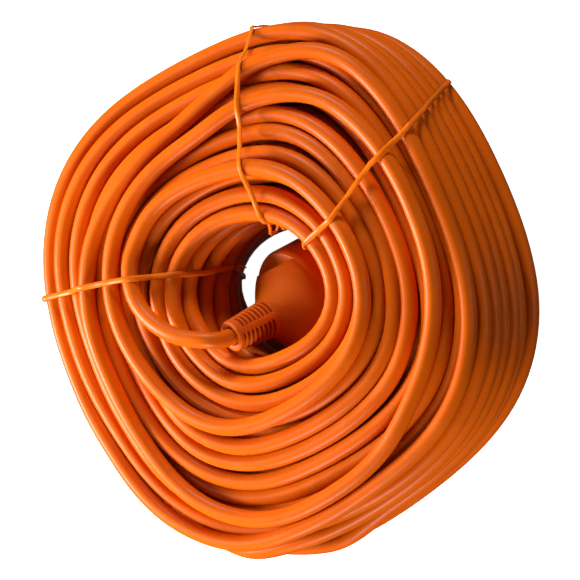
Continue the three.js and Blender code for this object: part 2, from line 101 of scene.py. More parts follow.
class Wires:
    """One socket of a shader. Arithmetic on it adds Math nodes, and add makes any other node."""

    def __init__(self, socket):
        self.socket = socket

    @staticmethod
    def add(tree, kind, settings=None, **values):
        """A new node. An input is named, with _ for a space, or is s and its number."""
        node = tree.nodes.new("ShaderNode" + kind)
        for key, value in (settings or {}).items():
            setattr(node, key, value)
        for key, value in values.items():
            name = key.replace("_", " ")
            socket = node.inputs[int(key[1:])] if key[1:].isdigit() else node.inputs[name]
            if isinstance(value, Wires):
                tree.links.new(value.socket, socket)
            else:
                socket.default_value = value
        return node

    def maths(self, operation, first, second=0.0):
        """The named operation on two values, either of which may be a number."""
        tree = self.socket.id_data
        node = Wires.add(tree, "Math", {"operation": operation}, s0=first, s1=second)
        return Wires(node.outputs[0])

    def __add__(self, other):
        return self.maths("ADD", self, other)

    def __radd__(self, other):
        return self.maths("ADD", other, self)

    def __sub__(self, other):
        return self.maths("SUBTRACT", self, other)

    def __rsub__(self, other):
        return self.maths("SUBTRACT", other, self)

    def __mul__(self, other):
        return self.maths("MULTIPLY", self, other)

    def __rmul__(self, other):
        return self.maths("MULTIPLY", other, self)

    def noise(self, scale, detail=2.0):
        """Cloudy noise from 0 to 1 at this position, about one metre over the scale across."""
        tree = self.socket.id_data
        node = Wires.add(tree, "TexNoise", None, Vector=self, Scale=scale, Detail=detail)
        return Wires(node.outputs[0])

    def stretched(self, scale):
        """This position, multiplied by three scales."""
        node = Wires.add(self.socket.id_data, "Mapping", None, Vector=self, Scale=scale)
        return Wires(node.outputs["Vector"])

    def between(self, low, high):
        """0 below low, 1 above high, and a straight line between them."""
        tree = self.socket.id_data
        node = Wires.add(tree, "MapRange", None, Value=self, From_Min=low, From_Max=high)
        return Wires(node.outputs["Result"])

    def tint(self, first, second):
        """The first colour where this is 0, the second where it is 1."""
        tree = self.socket.id_data
        node = Wires.add(tree, "Mix", {"data_type": "RGBA"}, s0=self, s6=first, s7=second)
        return Wires(node.outputs[2])


# the backdrop is white to the eye, but gives the coil only a weak light of its own
world = bpy.data.worlds.new("studio")
world.use_nodes = True
backdrop = world.node_tree.nodes["Background"]
backdrop.inputs["Color"].default_value = (1.0, 0.99, 0.97, 1.0)
looked_at = Wires(Wires.add(world.node_tree, "LightPath").outputs["Is Camera Ray"])
world.node_tree.links.new((0.06 + 0.94 * looked_at).socket, backdrop.inputs["Strength"])
scene.world = world

floor_mesh = bpy.data.meshes.new("floor")
floor_mesh.from_pydata([(-6, -6, 0), (6, -6, 0), (6, 6, 0), (-6, 6, 0)], [], [(0, 1, 2, 3)])
floor = bpy.data.objects.new("floor", floor_mesh)
scene.collection.objects.link(floor)
floor_paint = bpy.data.materials.new("floor_paint")
floor_paint.use_nodes = True
floor_shader = floor_paint.node_tree.nodes["Principled BSDF"]
floor_shader.inputs["Base Color"].default_value = (0.8, 0.8, 0.8, 1.0)
floor_shader.inputs["Roughness"].default_value = 0.9
floor_shader.inputs["Emission Color"].default_value = (1.0, 1.0, 1.0, 1.0)
floor_shader.inputs["Emission Strength"].default_value = 1.0
floor_mesh.materials.append(floor_paint)
floor.visible_diffuse = False
floor.visible_glossy = False

# --- the cord -------------------------------------------------------------------------------
# About 40 m of round three-core PVC cord, wound by hand: turn beside turn in layers, with the
# last turns laid across the front. It runs from the plug, round the coil, to the coupler.

CORD_DIAMETER = 0.008
COIL_CENTRE = np.array([0.0, -0.0032, 0.0])
OUTER_RADIUS = 0.121
# bulges and dents of the outside: middle and width in degrees, and depth
BULGES = ((52, 30, 0.0045), (-14, 18, 0.0026), (-80, 32, -0.0045))
HOLE_HALF_WIDTHS = (0.031, 0.042)
# the coil's section: the height of its underside and front at shares of the way from the hole
# to the outside
UNDERSIDE = ((0.0, 0.026), (0.03, 0.014), (0.1, 0.005), (0.2, 0.0), (0.6, 0.0), (0.78, 0.005),
             (0.92, 0.012), (1.0, 0.020))
FRONT = ((0.0, 0.075), (0.04, 0.080), (0.14, 0.082), (0.35, 0.0805), (0.6, 0.0765), (0.8, 0.0725),
         (0.95, 0.068), (1.0, 0.063))
COLUMNS = 10
COLUMN_PITCH = 0.00825
TURN_PITCH = 0.00825
RING_STEP = 0.0047
CLOSEST_TURNS = CORD_DIAMETER * 1.01
# how far in from the outside the first column lies, and the thickness that shares are taken of
FIRST_COLUMN = 0.0042
WALL_THICKNESS = 0.083
# the columns stop this far under the front, to leave room for the last turns
FRONT_GAP = 0.0075
# one more turn at the front's outer edge: its share, and how far it lies under the front
EDGE_SHARE = 0.925
EDGE_DROP = 0.003
WINDING_SEED = 11
SETTLING_ROUNDS = 160
CENTRELINE_STEP = 0.00485
# how unevenly a turn is laid: the scatter of its share, its height and its starting angle. It
# slips over from the turn before within SLIP radians on either side of that angle
SHARE_SCATTER = 0.006
HEIGHT_SCATTER = 0.0006
START_SCATTER = 1.2
SLIP = 0.7
# slow waves in cycles a turn, the size of each, and their whole size in share and height
WAVES = np.array([0.31, 0.57, 0.83, 1.37, 2.21])
WAVE_SIZES = np.array([0.30, 0.28, 0.22, 0.14, 0.08])
SHARE_WAVE = 0.016
HEIGHT_WAVE = 0.0018
OUTER_HEIGHT_WAVE = 0.0042
# toward +Y the hole narrows at half height and opens again at the floor
NARROWING = ((0.0, -0.013), (0.010, -0.010), (0.020, -0.003), (0.030, 0.002), (0.036, 0.008),
             (0.043, 0.015), (0.050, 0.014), (0.057, 0.011), (0.063, 0.0075), (0.070, 0.003),
             (0.078, 0.0))
# one corner's lower edge is well rounded: middle and width in degrees, depth, and up to where
CORNER_MIDDLE = 232
CORNER_WIDTH = 32
CORNER_DEPTH = 0.009
CORNER_TOP = 0.045
# the front's edge stands higher toward +Y
RAISED_EDGE = 0.006

COUPLER_TIP = np.array([-0.0216, 0.0089, 0.078])
COUPLER_AXIS = np.array([-0.368, 0.327, 0.871])
COUPLER_AXIS /= np.linalg.norm(COUPLER_AXIS)
COUPLER_LENGTH = 0.0721
COUPLER_MOUTH = COUPLER_TIP - COUPLER_LENGTH * COUPLER_AXIS
PLUG_FACE = np.array([-0.0425, 0.1159, 0.0192])
PLUG_AXIS = np.array([-0.875, -0.485, 0.0])
PLUG_AXIS /= np.linalg.norm(PLUG_AXIS)

# the room each end takes: radius at places along its axis
COUPLER_ROOM = ((-0.008, 0.0290), (0.0045, 0.0290), (0.033, 0.0275), (0.042, 0.019),
                (0.050, 0.0105), (0.0725, 0.0085))
PLUG_ROOM = ((-0.020, 0.0125), (-0.0005, 0.0125), (0.0, 0.0192), (0.014, 0.0187), (0.028, 0.013),
             (0.035, 0.010), (0.057, 0.0092))

# the free end at the coupler, from inside the boot to the ring that it becomes
COUPLER_LEAD = np.array([
    *(COUPLER_MOUTH + along * COUPLER_AXIS for along in (0.0466, 0.056, 0.065, 0.071, 0.074)),
    (-0.0236, 0.0134, 0.0846), (-0.0232, 0.0205, 0.0866), (-0.0224, 0.0295, 0.0876),
    (-0.0196, 0.0386, 0.0872), (-0.0152, 0.0474, 0.0860), (-0.0079, 0.0564, 0.0844),
    (0.0022, 0.0622, 0.0828), (0.0130, 0.0638, 0.0812), (0.0236, 0.0604, 0.0796),
    (0.0324, 0.0544, 0.0782)])
# the free end at the plug
PLUG_LEAD = np.array([
    *(PLUG_FACE + along * PLUG_AXIS for along in (0.0301, 0.040, 0.050, 0.056, 0.060)),
    (-0.1006, 0.0814, 0.0192), (-0.1060, 0.0714, 0.0194), (-0.1094, 0.0606, 0.0197),
    (-0.1122, 0.0499, 0.0202), (-0.1144, 0.0394, 0.0207), (-0.1165, 0.0291, 0.0210)])

# the last turns, laid over the front: angle in degrees, share of the way outwards
LAST_TURNS = np.array([
    (-60, 0.91), (-22, 0.92), (0, 0.81), (12, 0.72), (23, 0.64), (39, 0.60), (54, 0.54), (66, 0.56),
    (81, 0.58), (90, 0.60), (130, 0.66), (165, 0.78), (194, 0.86), (211, 0.85), (230, 0.77),
    (245, 0.69), (256, 0.685), (270, 0.744), (281, 0.757), (312, 0.76), (345, 0.66), (380, 0.52),
    (420, 0.44), (470, 0.40), (540, 0.36), (600, 0.31), (660, 0.28), (717, 0.27), (755, 0.275),
    (779, 0.292)])


def outer_radius(angle):
    """A circle with a four-lobed and a weaker two-lobed wave: a rounded parallelogram.

    A few bell-shaped bulges and dents make it fuller or flatter on one side.
    """
    radius = OUTER_RADIUS * (1 + 0.04 * np.cos(4 * angle + 1.09) + 0.01 * np.cos(2 * angle - 2.55))
    for middle, width, depth in BULGES:
        away = (np.degrees(angle) - middle + 180) % 360 - 180
        radius = radius + depth * np.exp(-(away / width) ** 2)
    return radius


def hole_radius(angle):
    """An ellipse, in polar form."""
    wide, long = HOLE_HALF_WIDTHS
    return 1 / np.hypot(np.cos(angle) / wide, np.sin(angle) / long)


def read_off(outline, place):
    """Straight lines between an outline's (place, value) points, read at the given places."""
    places, values = np.array(outline).T
    return np.interp(place, places, values)


def curve_through(points, step):
    """A cubic through the points, each slope set by its neighbours, cut in equal steps."""
    knots = np.concatenate([[0], np.cumsum(np.linalg.norm(np.diff(points, axis=0), axis=1))])
    slopes = np.gradient(points, knots, axis=0)
    fine = np.linspace(0, knots[-1], int(knots[-1] / step) * 8)
    span = np.clip(np.searchsorted(knots, fine, side="right") - 1, 0, len(knots) - 2)
    gap = (knots[span + 1] - knots[span])[:, None]
    t = (fine - knots[span])[:, None] / gap
    line = (
        (1 + 2 * t) * (1 - t) ** 2 * points[span]
        + t * (1 - t) ** 2 * gap * slopes[span]
        + t * t * (3 - 2 * t) * points[span + 1]
        + t * t * (t - 1) * gap * slopes[span + 1]
    )
    return even_steps(line, step)


def even_steps(line, step):
    """The same line, cut again in equal steps of about the given length."""
    run = np.concatenate([[0], np.cumsum(np.linalg.norm(np.diff(line, axis=0), axis=1))])
    places = np.linspace(0, run[-1], max(2, int(round(run[-1] / step)) + 1))
    return np.stack([np.interp(places, run, column) for column in line.T], axis=1)


def winding_order():
    """Every turn of the coil as a column and a height, in the order in which it is laid.

    The lowest turn of each column comes first, from the outside in. The rest follow in rows,
    one back and one forth, and the front row comes last and ends outside.
    """
    shares = 1 - (FIRST_COLUMN + COLUMN_PITCH * np.arange(COLUMNS)) / WALL_THICKNESS
    low = read_off(UNDERSIDE, shares) + CORD_DIAMETER / 2
    high = read_off(FRONT, shares) - FRONT_GAP
    counts = np.floor((high - low) / TURN_PITCH).astype(int) + 1
    heights = [np.linspace(low[k], high[k], counts[k]) for k in range(COLUMNS)]
    order = [(k, heights[k][0]) for k in range(COLUMNS)]
    for row in range(counts.max() - 2, -1, -1):
        columns = [k for k in range(COLUMNS) if row < counts[k] - 1]
        if row % 2 == 0:
            columns = columns[::-1]
        order += [(k, heights[k][counts[k] - 1 - row]) for k in columns]
    edge_turn = (EDGE_SHARE, read_off(FRONT, EDGE_SHARE) - EDGE_DROP)
    return np.array([*((shares[int(k)], z) for k, z in order), edge_turn])


def wound_turns(rng):
    """The wound line before it settles: angle, share and height, turned into points.

    Each turn holds its place for most of a revolution and then slips to the next one's. Slow
    waves whose pitch isn't a whole number of turns keep neighbours from lying too evenly.
    """
    turns = winding_order()
    turns[:, 0] += rng.normal(0, SHARE_SCATTER, len(turns))
    turns[:, 1] += rng.normal(0, HEIGHT_SCATTER, len(turns))
    start = math.atan2(PLUG_LEAD[-1][1], PLUG_LEAD[-1][0])
    joints = start + 2 * np.pi * np.arange(len(turns) + 1)
    joints[1:-1] += rng.uniform(-START_SCATTER, START_SCATTER, len(turns) - 1)
    knots = np.stack([joints[:-1] + SLIP, joints[1:] - SLIP], axis=1).ravel()
    shares = np.repeat(turns[:, 0], 2)
    heights = np.repeat(turns[:, 1], 2)
    whole = math.ceil((knots[-2] + math.radians(60)) / (2 * np.pi))
    top_angles = np.radians(LAST_TURNS[:, 0]) + 2 * np.pi * whole
    keep = knots < top_angles[0] - 0.4
    top_heights = read_off(FRONT, LAST_TURNS[:, 1]) - 0.001
    top_heights[0] += 0.001
    top_heights[-4:] = (0.0785, 0.0785, 0.0785, 0.0782)
    knots = np.concatenate([[start], knots[keep], top_angles])
    shares = np.concatenate([[0.955], shares[keep], LAST_TURNS[:, 1]])
    heights = np.concatenate([[0.021], heights[keep], top_heights])
    angle = np.arange(knots[0], knots[-1], 0.03)
    share = np.interp(angle, knots, shares)
    height = np.interp(angle, knots, heights)
    eased = np.hanning(31)[1:-1]
    eased /= eased.sum()
    share = np.convolve(np.pad(share, 14, "edge"), eased, "valid")
    height = np.convolve(np.pad(height, 14, "edge"), eased, "valid")
    settle = np.clip((knots[-1] - angle) / 6.0, 0, 1) * np.clip((angle - start) / 2.0, 0, 1)
    for wave, size in zip(WAVES, WAVE_SIZES):
        shift = rng.uniform(0, 2 * np.pi, 2)
        share += settle * SHARE_WAVE * size * np.cos(wave * angle + shift[0])
        outside = np.clip(share * 8 - 6.8, 0, 1)
        depth = HEIGHT_WAVE + OUTER_HEIGHT_WAVE * outside
        height += settle * depth * size * np.cos(wave * 1.07 * angle + shift[1])
    inner = hole_radius(angle)
    radius = inner + share * (outer_radius(angle) - inner)
    toward_y = np.clip(np.cos((angle - np.pi / 2 + np.pi) % (2 * np.pi) - np.pi), 0, 1) ** 2
    narrowing = read_off(NARROWING, height)
    radius -= toward_y * narrowing * np.clip(1 - share, 0, 1) ** 1.5
    off_corner = (np.degrees(angle) - CORNER_MIDDLE + 180) % 360 - 180
    corner = np.exp(-off_corner ** 2 / CORNER_WIDTH ** 2)
    radius -= CORNER_DEPTH * corner * np.clip(1 - height / CORNER_TOP, 0, 1) * np.clip(share, 0, 1) ** 2
    height += RAISED_EDGE * toward_y * np.clip(share * 6 - 5, 0, 1) * np.clip(height / 0.06, 0, 1) ** 2
    line = np.stack([radius * np.cos(angle), radius * np.sin(angle), height], axis=1)
    return even_steps(line, RING_STEP)


def close_pairs(line, reach):
    """Index pairs of points closer than reach, found by sorting the points into cubes."""
    cube = np.floor((line - line.min(0)) / reach).astype(np.int64) + 1
    size = cube.max(0) + 2
    key = (cube[:, 0] * size[1] + cube[:, 1]) * size[2] + cube[:, 2]
    order = np.argsort(key, kind="stable")
    sorted_key = key[order]
    half = [(0, 0, 0)] + [(a, b, c) for a in (-1, 0, 1) for b in (-1, 0, 1) for c in (-1, 0, 1)
                          if (a, b, c) > (0, 0, 0)]
    firsts, seconds = [], []
    for a, b, c in half:
        offset = (a * size[1] + b) * size[2] + c
        low = np.searchsorted(sorted_key, sorted_key + offset, side="left")
        high = np.searchsorted(sorted_key, sorted_key + offset, side="right")
        if offset == 0:
            low = np.arange(len(key)) + 1
        count = np.maximum(high - low, 0)
        first = np.repeat(np.arange(len(key)), count)
        block_start = np.repeat(np.cumsum(count) - count, count)
        second = np.arange(count.sum()) - block_start + np.repeat(low, count)
        firsts.append(order[first])
        seconds.append(order[second])
    first = np.concatenate(firsts)
    second = np.concatenate(seconds)
    near = (np.abs(first - second) > 4) & (
        np.linalg.norm(line[first] - line[second], axis=1) < reach)
    return first[near], second[near]


def pushed_clear(line, origin, axis, outline):
    """Points inside a body of revolution, moved straight out from its axis to clear the cord."""
    along = (line - origin) @ axis
    across = line - origin - along[:, None] * axis
    distance = np.linalg.norm(across, axis=1)
    places, radii = np.array(outline).T
    clear = np.interp(along, places, radii, left=0, right=0) + CORD_DIAMETER / 2
    inside = (along > places[0]) & (along < places[-1]) & (distance < clear)
    moved = line.copy()
    push = (clear - distance) / np.maximum(distance, 1e-9)
    moved[inside] += (across * push[:, None])[inside]
    return moved


def settled(line, held, rounds):
    """The wound line after its turns have pushed each other apart.

    Each round moves touching points apart, evens out the bending, draws every point a little
    back to where it was laid, and keeps the cord off the floor, the coupler and the plug.
    """
    laid = line.copy()
    free = (~held).astype(float)
    for turn in range(rounds):
        if turn % 6 == 0:
            first, second = close_pairs(line, CORD_DIAMETER * 1.35)
        gap = line[first] - line[second]
        distance = np.linalg.norm(gap, axis=1)
        touching = distance < CLOSEST_TURNS
        a, b = first[touching], second[touching]
        share = free[a] + free[b] + 1e-9
        push = gap[touching] / distance[touching, None] * (CLOSEST_TURNS - distance[touching, None])
        move = np.zeros_like(line)
        count = np.bincount(a, minlength=len(line)) + np.bincount(b, minlength=len(line))
        for k in range(3):
            move[:, k] += np.bincount(a, push[:, k] * free[a] / share, len(line))
            move[:, k] -= np.bincount(b, push[:, k] * free[b] / share, len(line))
        move *= (1.5 / np.maximum(count, 1.5))[:, None]
        bend = np.zeros_like(line)
        bend[2:-2] = (4 * (line[1:-3] + line[3:-1]) - line[:-4] - line[4:] - 6 * line[2:-2]) / 16
        move += 0.9 * bend + 0.012 * (laid - line)
        line = line + move * free[:, None]
        line[:, 2] = np.where(held, line[:, 2], np.maximum(line[:, 2], CORD_DIAMETER / 2))
        cleared = pushed_clear(line, COUPLER_MOUTH, COUPLER_AXIS, COUPLER_ROOM)
        cleared = pushed_clear(cleared, PLUG_FACE, PLUG_AXIS, PLUG_ROOM)
        line = np.where(held[:, None], line, cleared)
    return line


def cord_line():
    """The whole centreline, from inside the plug's boot to inside the coupler's boot."""
    rng = np.random.default_rng(WINDING_SEED)
    plug_end = curve_through(PLUG_LEAD, RING_STEP)
    coupler_end = curve_through(COUPLER_LEAD[::-1], RING_STEP)
    middle = wound_turns(rng)
    line = np.concatenate([plug_end[:-1], middle, coupler_end[1:]])
    held = np.ones(len(line), bool)
    held[len(plug_end) - 3:len(line) - len(coupler_end) + 3] = False
    # ease the two joins before anything settles
    smooth = line.copy()
    for _ in range(6):
        smooth[1:-1] = 0.25 * smooth[:-2] + 0.5 * smooth[1:-1] + 0.25 * smooth[2:]
    line = np.where(held[:, None], line, smooth)
    line = settled(line, held, SETTLING_ROUNDS)
    line = even_steps(line, CENTRELINE_STEP)
    line[:, 2] = np.maximum(line[:, 2], CORD_DIAMETER / 2 + 0.0001)
    return line + COIL_CENTRE


def tube_along(line, radius, sides):
    """Rings round a line, each square to it, as vertices and faces.

    A ring's first point is turned away from the coil's axis, so that the tube has no twist.
    """
    tangent = np.gradient(line, axis=0)
    tangent /= np.linalg.norm(tangent, axis=1)[:, None]
    outward = (line - COIL_CENTRE) * (1, 1, 0)
    normal = outward - (outward * tangent).sum(1)[:, None] * tangent
    normal /= np.linalg.norm(normal, axis=1)[:, None]
    binormal = np.cross(tangent, normal)
    turn = np.arange(sides) / sides * 2 * np.pi
    vertices = line[:, None] + radius * (
        np.cos(turn)[:, None] * normal[:, None] + np.sin(turn)[:, None] * binormal[:, None])
    ring = np.arange(len(line) - 1)[:, None] * sides
    here = np.arange(sides)
    beside = (here + 1) % sides
    quads = np.stack([ring + here, ring + beside, ring + sides + beside, ring + sides + here], axis=-1)
    return vertices.reshape(-1, 3), quads.reshape(-1, 4)


def new_piece(name, vertices, faces):
    """A mesh object at the origin, from its vertices and its faces."""
    mesh = bpy.data.meshes.new(name)
    mesh.from_pydata(np.asarray(vertices).tolist(), [], [list(map(int, face)) for face in faces])
    mesh.validate()
    mesh.polygons.foreach_set("use_smooth", [True] * len(mesh.polygons))
    piece = bpy.data.objects.new(name, mesh)
    scene.collection.objects.link(piece)
    return piece


cord_centreline = cord_line()
cord_length = float(np.linalg.norm(np.diff(cord_centreline, axis=0), axis=1).sum())
CORD_SIDES = 12
cord_vertices, cord_quads = tube_along(cord_centreline, CORD_DIAMETER / 2, CORD_SIDES)
end_faces = [np.arange(CORD_SIDES)[::-1], len(cord_vertices) - CORD_SIDES + np.arange(CORD_SIDES)]
cord = new_piece("cord", cord_vertices, [*cord_quads, *end_faces])

# a lengthways map: once round the cord, and metres along it
rings = len(cord_centreline)
round_the_cord = np.arange(CORD_SIDES)[None, :] + np.array([0, 1, 1, 0])[:, None]
metres = np.linspace(0, cord_length, rings)
across_map = np.broadcast_to(round_the_cord.T / CORD_SIDES, (rings - 1, CORD_SIDES, 4))
along_map = np.broadcast_to(
    np.stack([metres[:-1], metres[:-1], metres[1:], metres[1:]], axis=-1)[:, None], across_map.shape)
sheath_map = np.zeros((len(cord.data.loops), 2), np.float32)
sheath_map[:across_map.size] = np.stack([across_map.ravel(), along_map.ravel()], axis=-1)
cord.data.uv_layers.new(name="lengthways").data.foreach_set("uv", sheath_map.ravel())


def new_paint(name):
    """A new material, its shader, and the position on the object in metres."""
    paint = bpy.data.materials.new(name)
    paint.use_nodes = True
    place = Wires(Wires.add(paint.node_tree, "TexCoord").outputs["Object"])
    return paint, paint.node_tree.nodes["Principled BSDF"], place


def surface(shader, colour, roughness, relief, depth):
    """Joins a worked-out colour, roughness and relief, with its depth in metres, to the shader."""
    tree = colour.socket.id_data
    tree.links.new(colour.socket, shader.inputs["Base Color"])
    tree.links.new(roughness.socket, shader.inputs["Roughness"])
    bump = Wires.add(tree, "Bump", None, Height=relief, Strength=1.0, Distance=depth)
    tree.links.new(bump.outputs["Normal"], shader.inputs["Normal"])


def shade(colour, share):
    """The colour made darker or lighter, with full alpha."""
    return tuple(min(1.0, share * part) for part in colour) + (1.0,)


def satin_pvc(name, colour, roughness, extruded=False):
    """Satin PVC: an uneven colour, rubbed and dusty patches, a fine grain, and drawn streaks.

    The streaks of an extruded sheath run along it, each under half a millimetre wide.
    """
    paint, shader, place = new_paint(name)
    cloud = place.noise(32.0, 4.0)
    grain = place.noise(1500.0)
    rubbed = place.noise(85.0, 5.0).between(0.56, 0.72)
    dust = place.noise(600.0, 3.0).between(0.64, 0.74)
    base = cloud.between(0.3, 0.7).tint(shade(colour, 0.9), shade(colour, 1.08))
    base = (0.22 * rubbed).tint(base, (colour[0], colour[1] * 1.4, colour[2] + 0.006, 1.0))
    base = (0.06 * dust).tint(base, (0.55, 0.42, 0.34, 1.0))
    rough = roughness + 0.10 * (cloud - 0.5) + 0.12 * rubbed + 0.08 * (grain - 0.5)
    relief = 0.6 * grain + 0.2 * place.noise(260.0, 3.0)
    if extruded:
        length = Wires(Wires.add(paint.node_tree, "UVMap", {"uv_map": "lengthways"}).outputs["UV"])
        streak = length.stretched((55.0, 22.0, 1.0)).noise(1.0, 3.0)
        base = streak.between(0.35, 0.75).tint(base, (0.10 * streak).tint(base, shade(colour, 0.55)))
        rough = rough + 0.12 * (streak - 0.5)
        relief = relief + 0.5 * streak
    surface(shader, base, rough, relief, 0.00003)
    shader.inputs["Specular IOR Level"].default_value = 0.10
    return paint


ORANGE = (0.61, 0.096, 0.0012)
cord.data.materials.append(satin_pvc("cord_sheath", ORANGE, 0.36, extruded=True))
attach(cord, "root")
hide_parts("cable_coil", "coupler_lead", "plug_lead")

# --- the moulded bend reliefs ------------------------------------------------------------------
# Each end of the cord leaves its moulding through a tapered PVC sleeve, moulded in one with it.
# Two banks of slots across the sleeve, half a pitch apart, let it bend without a kink.

BOOT_LENGTH = 0.0221
SLOT_PITCH = 0.00235
SLOT_FLOOR = 0.0056
# half a slot's width and the angle it reaches round to, each where its edge begins and ends
SLOT_HALF_WIDTH = (0.00048, 0.00072)
SLOT_REACH = (1.30, 1.38)


def local_axes(axis, side):
    """Three square axes whose third is the given one and whose first is nearly the side."""
    second = np.cross(axis, side)
    second /= np.linalg.norm(second)
    return np.stack([np.cross(second, axis), second, axis])


def rounded(corners, samples=6):
    """A closed outline of (radius, height, rounding) corners, each corner eased by a parabola."""
    corners = np.array(corners, float) * 0.001
    place, ease = corners[:, :2], corners[:, 2]
    back = np.roll(place, 1, axis=0) - place
    ahead = np.roll(place, -1, axis=0) - place
    back_length = np.linalg.norm(back, axis=1)
    ahead_length = np.linalg.norm(ahead, axis=1)
    reach = np.minimum(ease, 0.45 * np.minimum(back_length, ahead_length))[:, None]
    start = place + reach * back / back_length[:, None]
    end = place + reach * ahead / ahead_length[:, None]
    t = np.linspace(0, 1, samples)[None, :, None]
    eased = (1 - t) ** 2 * start[:, None] + 2 * t * (1 - t) * place[:, None] + t * t * end[:, None]
    return eased.reshape(-1, 2)


def ring_faces(rows, columns):
    """Quads of a surface that closes on itself both ways, rows round the section."""
    row = np.arange(rows)[:, None]
    column = np.arange(columns)[None, :]
    below, beside = (row + 1) % rows, (column + 1) % columns
    corners = (row * columns + column, row * columns + beside, below * columns + beside,
               below * columns + column)
    return np.stack(corners, axis=-1).reshape(-1, 4)


def turned_points(outline, angles):
    """The outline carried round the axis: one row of points for each of its corners."""
    radius, height = outline[:, :1], outline[:, 1:]
    level = np.broadcast_to(height, (len(outline), len(angles)))
    return np.stack([radius * np.cos(angles), radius * np.sin(angles), level], axis=-1)


def placed_points(points, origin, axes):
    """Local points moved to the row frame, by the origin and the three axes."""
    return (origin + points.reshape(-1, 3) @ axes) + COIL_CENTRE


def soft_step(low, high, value):
    """0 below low, 1 above high, and a smooth cubic between them."""
    t = np.clip((value - low) / (high - low), 0, 1)
    return t * t * (3 - 2 * t)


def boot_points(angles):
    """The sleeve's outside, cut by its slots, its rounded end and its bore, as rows of points."""
    along = np.linspace(0, BOOT_LENGTH - 0.0006, 170)
    taper = np.interp(along, (0, 0.0012, BOOT_LENGTH), (0.0094, 0.0092, 0.0074))
    radius = np.repeat(taper[:, None], len(angles), axis=1)
    for side in (0, 1):
        off_side = np.abs((angles - side * np.pi + np.pi) % (2 * np.pi) - np.pi)
        first = 0.0022 - side * SLOT_PITCH / 2
        phase = (along - first) / SLOT_PITCH
        inside = np.abs((phase - 0.255 + 0.5) % 1 - 0.5) * SLOT_PITCH
        in_bank = (phase > -0.05) & (phase < 7.6)
        across = (1 - soft_step(*SLOT_HALF_WIDTH, inside)) * in_bank
        around = 1 - soft_step(*SLOT_REACH, off_side)
        radius -= (across[:, None] * around[None, :]) * (radius - SLOT_FLOOR)
    outer = np.stack([radius * np.cos(angles), radius * np.sin(angles),
                      np.broadcast_to(along[:, None], radius.shape)], axis=-1)
    end = np.array([(0.00735, BOOT_LENGTH - 0.0003), (0.0071, BOOT_LENGTH), (0.0050, BOOT_LENGTH),
                    (0.0045, BOOT_LENGTH - 0.0004), (0.0044, BOOT_LENGTH - 0.001), (0.0044, 0.0)])
    return np.concatenate([outer, turned_points(end, angles)])


def boot_piece(name, origin, axes, start):
    """A sleeve as a closed surface, standing on its moulding."""
    angles = np.linspace(0, 2 * np.pi, 144, endpoint=False)
    points = boot_points(angles)
    points[..., 2] += start
    faces = ring_faces(len(points), len(angles))
    return new_piece(name, placed_points(points, origin, axes), faces)


coupler_axes = local_axes(COUPLER_AXIS, (-0.9, -0.366, -0.243))
plug_axes = np.stack([np.cross((0.0, 0.0, 1.0), PLUG_AXIS), (0.0, 0.0, 1.0), PLUG_AXIS])
# The mouldings' orange is set darker than the cord's as painted shade. It stands for the shade on the
# coupler's dome deep in the coil's hole, and the real mouldings are the same orange as the cord.
moulding_paint_painted_shade = satin_pvc("moulding_pvc_painted_shade", (0.53, 0.080, 0.0012), 0.46)
coupler_boot = boot_piece("coupler_bend_relief", COUPLER_MOUTH, coupler_axes, 0.0500)
plug_boot = boot_piece("plug_bend_relief", PLUG_FACE, plug_axes, 0.0350)
for boot, node in ((coupler_boot, "coupler_boot"), (plug_boot, "plug_boot")):
    boot.data.materials.append(moulding_paint_painted_shade)
    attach(boot, "root")
    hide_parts(node)

# --- the coupler's body --------------------------------------------------------------------------
# The socket end is PVC moulded over its hard carrier: a round collar, and behind it a dome with
# a flat on each side for thumb and finger. The step from the collar to each flat is square.

COUPLER_OUTLINE = [
    (9.4, 50, 0.05), (10.3, 48.8, 1.5), (12.2, 47.0, 2), (15.2, 44.3, 3), (18.9, 41.2, 3),
    (22.3, 38.1, 3), (24.9, 35.0, 3), (25.9, 33.05, 0.3), (26.4, 32.3, 0.7), (27.0, 31.0, 1.5),
    (27.8, 6.0, 0.8), (27.9, 4.6, 0.5), (28.4, 4.1, 0.4), (28.4, 0.7, 0.6), (27.6, 0, 0.5), (21.4, 0, 0.4),
    (21.4, 23.8, 0.2), (16.4, 23.8, 0.2), (16.4, 38.8, 0.5), (6.5, 44.5, 0.5), (4.4, 46.8, 0.5),
    (4.4, 50, 0.1)]
GRIP_FLAT = 0.020


def coupler_points(angles):
    """The turned body, whose dome is then cut off square at the two grip flats."""
    outline = rounded(COUPLER_OUTLINE)
    back = int(np.argmax(outline[:, 1] < 0.0331))
    edge = outline[back].copy()
    outline = np.concatenate([outline[:back], [edge], [edge], outline[back:]])
    points = turned_points(outline, angles)
    dome = np.arange(len(outline)) <= back
    wide = dome[:, None] & (np.abs(points[..., 0]) > GRIP_FLAT)
    points[..., 0] = np.where(wide, np.sign(points[..., 0]) * GRIP_FLAT, points[..., 0])
    return points


angles = np.linspace(0, 2 * np.pi, 160, endpoint=False)
body_points = coupler_points(angles)
body_faces = ring_faces(len(body_points), len(angles))[:, ::-1]
body_points = placed_points(body_points, COUPLER_MOUTH, coupler_axes)
coupler_body = new_piece("coupler_shell", body_points, body_faces)
coupler_body.data.materials.append(moulding_paint_painted_shade)
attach(coupler_body, "root")
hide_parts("coupler_body")

# --- the plug's body -----------------------------------------------------------------------------
# A round PVC moulding that narrows to its bend relief. A notch on each side lets the ends of the
# earth strap lie flush.

PLUG_OUTLINE = [
    (9.4, 35, 0.05), (10.3, 33, 2), (12.5, 28, 5), (15.5, 21, 6), (18.0, 14.5, 4), (18.7, 11.5, 2),
    (18.7, 0.6, 0.6), (18.1, 0, 0.4), (15.5, 0, 0.3), (15.5, 17, 0.3), (12.5, 20.5, 0.5),
    (5.5, 28.5, 0.5), (4.4, 30.2, 0.5), (4.4, 35, 0.1)]
NOTCH_HALF_ANGLE = 0.2
NOTCH_END = 0.0126
NOTCH_FLOOR = 0.0161


